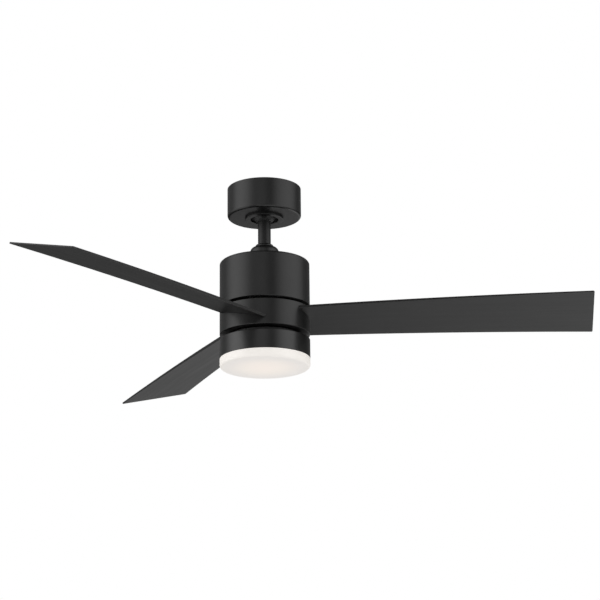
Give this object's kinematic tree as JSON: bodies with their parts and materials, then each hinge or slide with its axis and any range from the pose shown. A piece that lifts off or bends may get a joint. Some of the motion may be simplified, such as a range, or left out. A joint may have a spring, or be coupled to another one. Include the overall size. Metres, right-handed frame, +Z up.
{
  "type": "ceiling fan with light",
  "caption": "Indoor ceiling fan on a short downrod from a round canopy: drum motor housing, pitched flat blades in a turning band, and a drum light with an opal diffuser below.",
  "frame": {"origin": "centre of the ceiling plane: the top face of the ceiling plate, on the fan's axis", "axes": "+Z up along the fan's axis, out of the ceiling mount; +X along the plate's slots"},
  "size_m": [1.114, 1.1991, 0.3777],
  "materials": {
    "black_coat": "matte powder coat",
    "black_blade": "matte, fine texture",
    "black_nylon": "matte",
    "zinc_steel": "zinc plated",
    "cast_alloy": "cast",
    "sheet_alloy": "plain sheet",
    "core_steel": "laminated",
    "copper_wire": "enamelled",
    "magnet_dark": "sintered",
    "bearing_steel": "ground",
    "rubber_pad": "matte",
    "lead_jacket": "matte",
    "white_board": "solder mask",
    "led_lens": "phosphor",
    "white_case": "moulded",
    "opal": "opal, satin"
  },
  "bodies": {
    "ceiling_mount": {"ceiling_plate": "zinc_steel", "mounting_bracket": "zinc_steel", "bracket_rivets": "zinc_steel", "control_receiver": "black_nylon", "canopy": "black_coat", "canopy_screws": "zinc_steel", "canopy_ring": "black_coat"},
    "ball_liner": {"ball_seat_liner": "black_nylon"},
    "hanging_unit": {"hanger_ball": "black_nylon", "hanger_pin": "zinc_steel", "ball_set_screw": "zinc_steel", "downrod": "black_coat", "motor_leads": "lead_jacket", "coupling_cover": "black_coat", "yoke": "zinc_steel", "clevis_pin": "zinc_steel", "cotter_pin": "zinc_steel", "yoke_set_screws": "zinc_steel", "yoke_bolts": "zinc_steel", "upper_housing": "black_coat", "housing_floor": "black_nylon", "housing_floor_screws": "black_coat", "motor_shaft": "zinc_steel", "stator_core": "core_steel", "stator_windings": "copper_wire", "bearing_inner_rings": "bearing_steel", "retaining_rings": "zinc_steel", "light_neck": "black_nylon", "light_ring": "black_coat", "light_ring_screws": "zinc_steel", "shaft_nut": "zinc_steel", "led_driver": "white_case", "heat_sink_plate": "sheet_alloy", "heat_sink_screws": "zinc_steel", "led_board": "white_board", "led_chips": "led_lens"},
    "rotor": {"bearing_outer_rings": "bearing_steel", "bearing_balls": "bearing_steel", "rotor_bell": "zinc_steel", "rotor_magnets": "magnet_dark", "rotor_base": "cast_alloy", "rotor_screws": "zinc_steel", "blade_hub": "cast_alloy", "hub_screws": "zinc_steel", "rotor_band": "black_coat", "band_screws": "zinc_steel", "blade_gaskets": "rubber_pad", "blade_screws": "zinc_steel", "blade_1": "black_blade", "blade_2": "black_blade", "blade_3": "black_blade"},
    "diffuser_cap": {"diffuser": "opal"}
  },
  "joints": [
    {"name": "ball_tilt_x", "type": "hinge", "parent": "ceiling_mount", "child": "ball_liner", "pos_m": [0, 0, -0.05], "axis": [1, 0, 0], "range_deg": [-15, 15]},
    {"name": "ball_tilt_y", "type": "hinge", "parent": "ball_liner", "child": "hanging_unit", "pos_m": [0, 0, -0.05], "axis": [0, 1, 0], "range_deg": [-15, 15]},
    {"name": "fan_spin", "type": "hinge", "parent": "hanging_unit", "child": "rotor", "pos_m": [0, 0, -0.27885], "axis": [0, 0, 1], "continuous": true},
    {"name": "diffuser_twist", "type": "hinge", "parent": "hanging_unit", "child": "diffuser_cap", "pos_m": [0, 0, -0.356], "axis": [0, 0, 1], "range_deg": [0, 30]}
  ]
}
